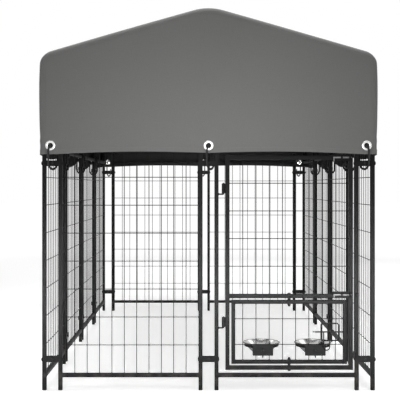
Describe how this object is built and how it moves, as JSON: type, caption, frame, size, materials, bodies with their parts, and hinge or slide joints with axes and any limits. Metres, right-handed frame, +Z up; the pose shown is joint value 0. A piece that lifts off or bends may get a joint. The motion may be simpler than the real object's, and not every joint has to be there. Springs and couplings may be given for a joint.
{
  "type": "outdoor dog kennel run",
  "caption": "Walk-in mesh-panel dog run with a swing door, a turning bowl feeder in the door and a gabled fabric cover on a tube roof frame.",
  "frame": {"origin": "on the ground at the middle of the plan", "axes": "+X to the right seen from the door end, +Y from the door end to the back, +Z up"},
  "size_m": [1.318, 2.398, 1.4725],
  "materials": {
    "frame_paint": "matte powder coat",
    "wire_paint": "matte powder coat",
    "fasteners": "black zinc",
    "bowl_steel": "polished",
    "eyelet_metal": "plated",
    "plugs": "moulded",
    "roof_paint": "matte",
    "cover_cloth": "coated weave"
  },
  "bodies": {
    "run": {"front_left_panel_frame": "frame_paint", "back_left_panel_frame": "frame_paint", "back_right_panel_frame": "frame_paint", "left_panel_1_frame": "frame_paint", "left_panel_2_frame": "frame_paint", "left_panel_3_frame": "frame_paint", "left_panel_4_frame": "frame_paint", "right_panel_1_frame": "frame_paint", "right_panel_2_frame": "frame_paint", "right_panel_3_frame": "frame_paint", "right_panel_4_frame": "frame_paint", "door_panel_frame": "frame_paint", "front_left_panel_mesh": "wire_paint", "back_left_panel_mesh": "wire_paint", "back_right_panel_mesh": "wire_paint", "left_panel_1_mesh": "wire_paint", "left_panel_2_mesh": "wire_paint", "left_panel_3_mesh": "wire_paint", "left_panel_4_mesh": "wire_paint", "right_panel_1_mesh": "wire_paint", "right_panel_2_mesh": "wire_paint", "right_panel_3_mesh": "wire_paint", "right_panel_4_mesh": "wire_paint", "leg_feet": "plugs", "leg_caps": "plugs", "clamp_outer_straps": "frame_paint", "clamp_inner_straps": "frame_paint", "clamp_bolts": "fasteners", "clamp_nuts": "fasteners", "hinge_pins": "frame_paint", "latch_keepers": "frame_paint", "roof_posts": "roof_paint", "roof_elbows": "roof_paint", "rafters": "roof_paint", "ridge_joints": "roof_paint", "ridge_poles": "roof_paint", "eave_poles": "roof_paint", "cover": "cover_cloth", "eyelets": "eyelet_metal", "cover_hooks": "fasteners"},
    "door": {"door_frame": "frame_paint", "door_mesh": "wire_paint", "hinge_sleeves": "frame_paint", "upper_latch_plate": "frame_paint", "lower_latch_plate": "frame_paint", "pivot_bolts": "fasteners", "pivot_spacers": "fasteners", "pivot_nuts": "fasteners"},
    "upper_bolt": {"upper_latch_bolt": "fasteners"},
    "lower_bolt": {"lower_latch_bolt": "fasteners"},
    "feeder": {"feeder_frame": "frame_paint", "feeder_mesh": "wire_paint", "feeder_latch_guide": "frame_paint", "bowl_holders": "frame_paint", "bowl_plates": "frame_paint", "bowl_screws": "fasteners"},
    "feeder_bolt": {"feeder_latch_bolt": "fasteners"},
    "bowl_left": {"left_bowl": "bowl_steel"},
    "bowl_right": {"right_bowl": "bowl_steel"}
  },
  "joints": [
    {"name": "door_swing", "type": "hinge", "parent": "run", "child": "door", "pos_m": [0.0579, -1.17225, 0.497], "axis": [0, 0, -1], "range_deg": [0, 100]},
    {"name": "upper_bolt_slide", "type": "slide", "parent": "door", "child": "upper_bolt", "axis": [1, 0, 0], "range_m": [0, 0.022]},
    {"name": "lower_bolt_slide", "type": "slide", "parent": "door", "child": "lower_bolt", "axis": [1, 0, 0], "range_m": [0, 0.022]},
    {"name": "feeder_spin", "type": "hinge", "parent": "door", "child": "feeder", "pos_m": [0.31055, -1.17225, 0.225], "axis": [0, 0, 1], "continuous": true},
    {"name": "feeder_bolt_slide", "type": "slide", "parent": "feeder", "child": "feeder_bolt", "axis": [1, 0, 0], "range_m": [0, 0.018]},
    {"name": "left_bowl_lift", "type": "slide", "parent": "feeder", "child": "bowl_left", "axis": [0, 0, 1], "range_m": [0, 0.06]},
    {"name": "right_bowl_lift", "type": "slide", "parent": "feeder", "child": "bowl_right", "axis": [0, 0, 1], "range_m": [0, 0.06]}
  ]
}
